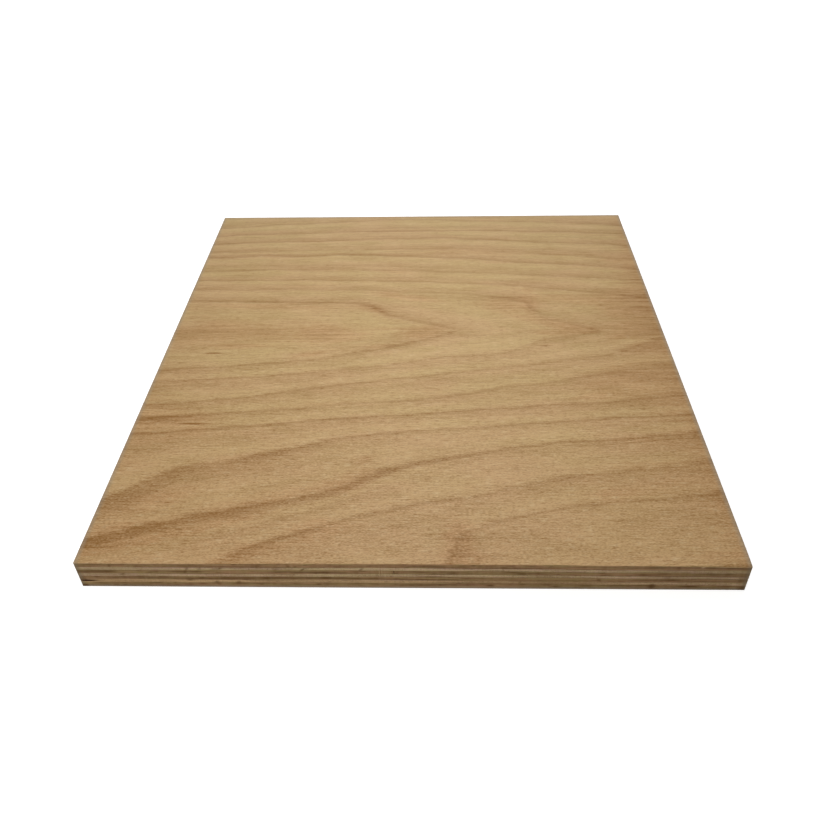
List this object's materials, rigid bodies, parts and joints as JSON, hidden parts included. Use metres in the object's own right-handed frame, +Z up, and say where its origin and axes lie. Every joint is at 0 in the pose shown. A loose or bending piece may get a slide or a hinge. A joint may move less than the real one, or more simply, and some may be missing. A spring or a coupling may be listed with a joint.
{
  "type": "plywood sheet",
  "caption": "Square panel of beech plywood lying flat, face veneer up, with its crossed plies, glue lines, eased arrises and small edge defects.",
  "frame": {"origin": "middle of the underside of the panel", "axes": "+X along the grain of the face, +Y across it away from the front edge, +Z up through the thickness, out of the face veneer"},
  "size_m": [0.3, 0.3, 0.0175],
  "materials": {
    "beech_face": "sanded bare rotary-cut beech veneer, matt to faintly satin",
    "beech_long_ply": "sawn edge, long grain at front and back, matt",
    "beech_crossband": "sawn edge, end grain at front and back, matt"
  },
  "bodies": {
    "root": {"back_veneer": "beech_face", "lower_crossband": "beech_crossband", "lower_inner_ply": "beech_long_ply", "centre_ply": "beech_crossband", "upper_inner_ply": "beech_long_ply", "upper_crossband": "beech_crossband", "face_veneer": "beech_face"}
  },
  "joints": []
}
